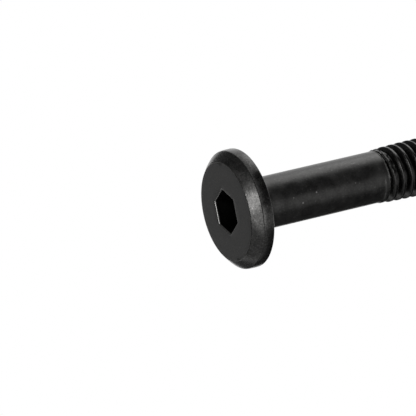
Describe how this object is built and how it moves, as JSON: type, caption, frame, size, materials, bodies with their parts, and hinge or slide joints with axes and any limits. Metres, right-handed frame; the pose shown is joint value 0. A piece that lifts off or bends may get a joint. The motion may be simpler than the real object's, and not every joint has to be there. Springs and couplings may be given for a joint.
{
  "type": "furniture connector bolt",
  "caption": "Black steel furniture connector bolt with a flat bevelled head, a hex socket, a conical neck, a plain shank and a long metric thread.",
  "frame": {"origin": "centre of the flat head face, on which the bolt stands", "axes": "+Z along the bolt from the head face to the tip; +X through a corner of the hex socket"},
  "size_m": [0.0125, 0.0124, 0.0521],
  "materials": {
    "black_steel": "satin black oxide"
  },
  "bodies": {
    "root": {"bolt": "black_steel"}
  },
  "joints": []
}
